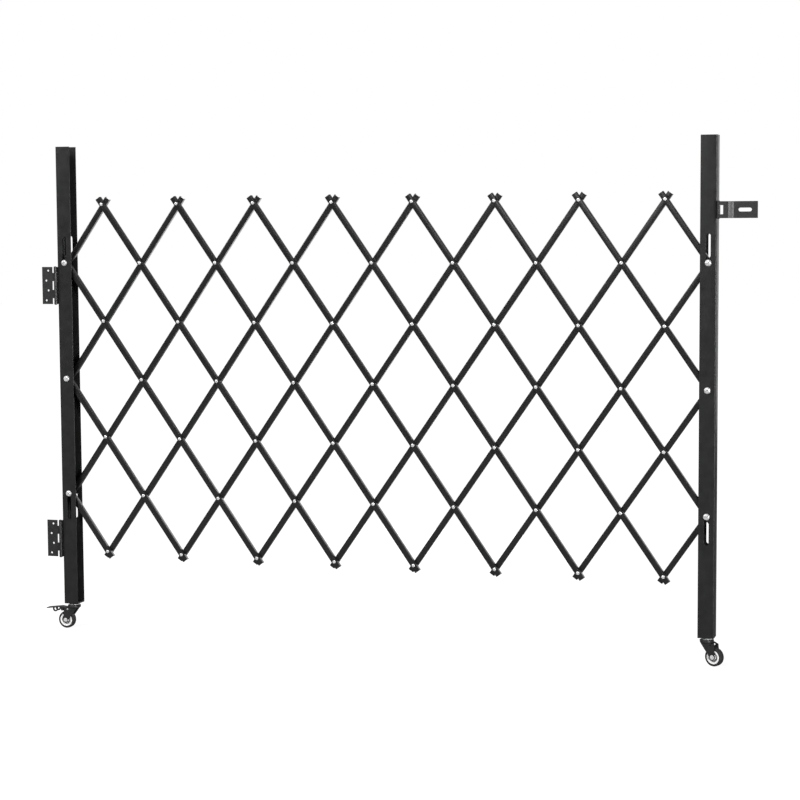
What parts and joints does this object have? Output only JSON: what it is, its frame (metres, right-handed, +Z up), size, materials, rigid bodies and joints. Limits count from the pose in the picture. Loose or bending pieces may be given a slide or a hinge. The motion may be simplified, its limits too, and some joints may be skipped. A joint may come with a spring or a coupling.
{
  "type": "folding steel gate",
  "caption": "Folding scissor gate of riveted steel channel bars between two channel posts, with wall hinges on one post, a hasp on the other and a caster under each.",
  "frame": {"origin": "where the axis of the wall hinges meets the floor", "axes": "+X along the gate from the hinged post to the hasp post, +Y from the front to the back, +Z up"},
  "size_m": [1.9015, 0.0594, 1.2885],
  "materials": {
    "bar_paint": "satin black",
    "post_paint": "satin black",
    "hardware_black": "satin black",
    "zinc": "bright zinc",
    "white_wheel": "white nylon",
    "tyre": "black rubber"
  },
  "bodies": {
    "wall_side": {"upper_wall_leaf": "hardware_black", "lower_wall_leaf": "hardware_black"},
    "left_post": {"left_post": "post_paint", "left_foot_plate": "hardware_black", "upper_post_leaf": "hardware_black", "lower_post_leaf": "hardware_black", "upper_hinge_pin": "hardware_black", "lower_hinge_pin": "hardware_black", "bolt_left_middle": "zinc", "nut_left_middle": "zinc", "left_caster_stem": "zinc"},
    "right_post": {"right_post": "post_paint", "right_foot_plate": "hardware_black", "hasp_base": "hardware_black", "hasp_pin": "hardware_black", "bolt_right_middle": "zinc", "nut_right_middle": "zinc", "right_caster_stem": "zinc"},
    "front_bar_01": {"front_bar_01": "bar_paint", "bolt_left_top": "zinc", "nut_left_top": "zinc"},
    "back_bar_01": {"back_bar_01": "bar_paint"},
    "front_bar_02": {"front_bar_02": "bar_paint"},
    "back_bar_02": {"back_bar_02": "bar_paint"},
    "front_bar_03": {"front_bar_03": "bar_paint", "bolt_left_bottom": "zinc", "nut_left_bottom": "zinc"},
    "back_bar_03": {"back_bar_03": "bar_paint"},
    "front_bar_04": {"front_bar_04": "bar_paint"},
    "back_bar_04": {"back_bar_04": "bar_paint"},
    "front_bar_05": {"front_bar_05": "bar_paint"},
    "back_bar_05": {"back_bar_05": "bar_paint"},
    "front_bar_06": {"front_bar_06": "bar_paint"},
    "back_bar_06": {"back_bar_06": "bar_paint"},
    "front_bar_07": {"front_bar_07": "bar_paint"},
    "back_bar_07": {"back_bar_07": "bar_paint"},
    "front_bar_08": {"front_bar_08": "bar_paint"},
    "back_bar_08": {"back_bar_08": "bar_paint"},
    "front_bar_09": {"front_bar_09": "bar_paint", "bolt_right_bottom": "zinc", "nut_right_bottom": "zinc"},
    "back_bar_09": {"back_bar_09": "bar_paint"},
    "front_bar_10": {"front_bar_10": "bar_paint"},
    "back_bar_10": {"back_bar_10": "bar_paint"},
    "front_bar_11": {"front_bar_11": "bar_paint", "bolt_right_top": "zinc", "nut_right_top": "zinc"},
    "back_bar_11": {"back_bar_11": "bar_paint"},
    "hasp_strap": {"hasp_strap": "hardware_black"},
    "left_swivel": {"left_caster_fork": "hardware_black", "left_caster_axle": "zinc", "brake_pin": "zinc"},
    "right_swivel": {"right_caster_fork": "hardware_black", "right_caster_axle": "zinc"},
    "left_wheel": {"left_caster_wheel": "white_wheel", "left_caster_tyre": "tyre"},
    "right_wheel": {"right_caster_wheel": "white_wheel", "right_caster_tyre": "tyre"},
    "brake_pedal": {"brake_pedal": "hardware_black"}
  },
  "joints": [
    {"name": "gate_swing", "type": "hinge", "parent": "wall_side", "child": "left_post", "pos_m": [0, 0, 0.6755], "axis": [0, 0, 1], "range_deg": [-175, 0]},
    {"name": "gate_fold", "type": "hinge", "parent": "left_post", "child": "back_bar_02", "pos_m": [0.0246, 0.0243, 0.6755], "axis": [0, -1, 0], "range_deg": [0, 31.95]},
    {"name": "front_bar_02_pivot", "type": "hinge", "parent": "left_post", "child": "front_bar_02", "pos_m": [0.0246, 0.0243, 0.6755], "axis": [0, 1, 0], "range_deg": [0, 31.95]},
    {"name": "front_bar_05_pivot", "type": "hinge", "parent": "back_bar_02", "child": "front_bar_05", "pos_m": [0.34437, 0.0243, 1.13644], "axis": [0, 1, 0], "range_deg": [0, 63.9]},
    {"name": "back_bar_08_pivot", "type": "hinge", "parent": "front_bar_05", "child": "back_bar_08", "pos_m": [0.98391, 0.0243, 0.21456], "axis": [0, -1, 0], "range_deg": [0, 63.9]},
    {"name": "front_bar_10_pivot", "type": "hinge", "parent": "back_bar_08", "child": "front_bar_10", "pos_m": [1.51685, 0.0243, 0.9828], "axis": [0, 1, 0], "range_deg": [0, 63.9]},
    {"name": "right_post_pivot", "type": "hinge", "parent": "front_bar_10", "child": "right_post", "pos_m": [1.73003, 0.0243, 0.6755], "axis": [0, -1, 0], "range_deg": [0, 31.95]},
    {"name": "back_bar_01_pivot", "type": "hinge", "parent": "front_bar_05", "child": "back_bar_01", "pos_m": [0.45096, 0.0243, 0.9828], "axis": [0, -1, 0], "range_deg": [0, 63.9]},
    {"name": "back_bar_04_pivot", "type": "hinge", "parent": "front_bar_05", "child": "back_bar_04", "pos_m": [0.55755, 0.0243, 0.82915], "axis": [0, -1, 0], "range_deg": [0, 63.9]},
    {"name": "back_bar_05_pivot", "type": "hinge", "parent": "front_bar_05", "child": "back_bar_05", "pos_m": [0.66414, 0.0243, 0.6755], "axis": [0, -1, 0], "range_deg": [0, 63.9]},
    {"name": "back_bar_06_pivot", "type": "hinge", "parent": "front_bar_05", "child": "back_bar_06", "pos_m": [0.77073, 0.0243, 0.52185], "axis": [0, -1, 0], "range_deg": [0, 63.9]},
    {"name": "back_bar_07_pivot", "type": "hinge", "parent": "front_bar_05", "child": "back_bar_07", "pos_m": [0.87731, 0.0243, 0.3682], "axis": [0, -1, 0], "range_deg": [0, 63.9]},
    {"name": "front_bar_06_pivot", "type": "hinge", "parent": "back_bar_08", "child": "front_bar_06", "pos_m": [1.09049, 0.0243, 0.3682], "axis": [0, 1, 0], "range_deg": [0, 63.9]},
    {"name": "front_bar_07_pivot", "type": "hinge", "parent": "back_bar_08", "child": "front_bar_07", "pos_m": [1.19708, 0.0243, 0.52185], "axis": [0, 1, 0], "range_deg": [0, 63.9]},
    {"name": "front_bar_08_pivot", "type": "hinge", "parent": "back_bar_08", "child": "front_bar_08", "pos_m": [1.30367, 0.0243, 0.6755], "axis": [0, 1, 0], "range_deg": [0, 63.9]},
    {"name": "front_bar_09_pivot", "type": "hinge", "parent": "back_bar_08", "child": "front_bar_09", "pos_m": [1.41026, 0.0243, 0.82915], "axis": [0, 1, 0], "range_deg": [0, 63.9]},
    {"name": "front_bar_11_pivot", "type": "hinge", "parent": "back_bar_08", "child": "front_bar_11", "pos_m": [1.62344, 0.0243, 1.13644], "axis": [0, 1, 0], "range_deg": [0, 63.9]},
    {"name": "front_bar_01_pivot", "type": "hinge", "parent": "back_bar_02", "child": "front_bar_01", "pos_m": [0.13119, 0.0243, 0.82915], "axis": [0, 1, 0], "range_deg": [0, 63.9]},
    {"name": "front_bar_04_pivot", "type": "hinge", "parent": "back_bar_02", "child": "front_bar_04", "pos_m": [0.23778, 0.0243, 0.9828], "axis": [0, 1, 0], "range_deg": [0, 63.9]},
    {"name": "back_bar_03_pivot", "type": "hinge", "parent": "front_bar_01", "child": "back_bar_03", "pos_m": [0.0246, 0.0243, 0.9828], "axis": [0, -1, 0], "range_deg": [0, 63.9]},
    {"name": "front_bar_03_pivot", "type": "hinge", "parent": "back_bar_01", "child": "front_bar_03", "pos_m": [0.0246, 0.0243, 0.3682], "axis": [0, 1, 0], "range_deg": [0, 63.9]},
    {"name": "back_bar_09_pivot", "type": "hinge", "parent": "front_bar_09", "child": "back_bar_09", "pos_m": [1.51685, 0.0243, 0.6755], "axis": [0, -1, 0], "range_deg": [0, 63.9]},
    {"name": "back_bar_10_pivot", "type": "hinge", "parent": "front_bar_09", "child": "back_bar_10", "pos_m": [1.62344, 0.0243, 0.52185], "axis": [0, -1, 0], "range_deg": [0, 63.9]},
    {"name": "back_bar_11_pivot", "type": "hinge", "parent": "front_bar_09", "child": "back_bar_11", "pos_m": [1.73003, 0.0243, 0.3682], "axis": [0, -1, 0], "range_deg": [0, 63.9]},
    {"name": "hasp_swing", "type": "hinge", "parent": "right_post", "child": "hasp_strap", "pos_m": [1.75463, 0, 1.1095], "axis": [0, 0, 1], "range_deg": [-165, 0]},
    {"name": "left_caster_swivel", "type": "hinge", "parent": "left_post", "child": "left_swivel", "pos_m": [0.0246, 0.0243, 0.0648], "axis": [0, 0, 1], "continuous": true},
    {"name": "right_caster_swivel", "type": "hinge", "parent": "right_post", "child": "right_swivel", "pos_m": [1.73003, 0.0243, 0.0648], "axis": [0, 0, 1], "continuous": true},
    {"name": "left_wheel_roll", "type": "hinge", "parent": "left_swivel", "child": "left_wheel", "pos_m": [0.0031, 0.0243, 0.023], "axis": [0, 1, 0], "continuous": true},
    {"name": "right_wheel_roll", "type": "hinge", "parent": "right_swivel", "child": "right_wheel", "pos_m": [1.7501, 0.01659, 0.023], "axis": [-0.3584, -0.9336, 0], "continuous": true},
    {"name": "brake_press", "type": "hinge", "parent": "left_swivel", "child": "brake_pedal", "pos_m": [0.0086, 0.0243, 0.052], "axis": [0, -1, 0], "range_deg": [0, 8]}
  ],
  "couplings": [
    {"joint": "front_bar_02_pivot", "follows": "gate_fold", "ratio": 1},
    {"joint": "front_bar_05_pivot", "follows": "gate_fold", "ratio": 2},
    {"joint": "back_bar_08_pivot", "follows": "gate_fold", "ratio": 2},
    {"joint": "front_bar_10_pivot", "follows": "gate_fold", "ratio": 2},
    {"joint": "right_post_pivot", "follows": "gate_fold", "ratio": 1},
    {"joint": "back_bar_01_pivot", "follows": "gate_fold", "ratio": 2},
    {"joint": "back_bar_04_pivot", "follows": "gate_fold", "ratio": 2},
    {"joint": "back_bar_05_pivot", "follows": "gate_fold", "ratio": 2},
    {"joint": "back_bar_06_pivot", "follows": "gate_fold", "ratio": 2},
    {"joint": "back_bar_07_pivot", "follows": "gate_fold", "ratio": 2},
    {"joint": "front_bar_06_pivot", "follows": "gate_fold", "ratio": 2},
    {"joint": "front_bar_07_pivot", "follows": "gate_fold", "ratio": 2},
    {"joint": "front_bar_08_pivot", "follows": "gate_fold", "ratio": 2},
    {"joint": "front_bar_09_pivot", "follows": "gate_fold", "ratio": 2},
    {"joint": "front_bar_11_pivot", "follows": "gate_fold", "ratio": 2},
    {"joint": "front_bar_01_pivot", "follows": "gate_fold", "ratio": 2},
    {"joint": "front_bar_04_pivot", "follows": "gate_fold", "ratio": 2},
    {"joint": "back_bar_03_pivot", "follows": "gate_fold", "ratio": 2},
    {"joint": "front_bar_03_pivot", "follows": "gate_fold", "ratio": 2},
    {"joint": "back_bar_09_pivot", "follows": "gate_fold", "ratio": 2},
    {"joint": "back_bar_10_pivot", "follows": "gate_fold", "ratio": 2},
    {"joint": "back_bar_11_pivot", "follows": "gate_fold", "ratio": 2}
  ]
}
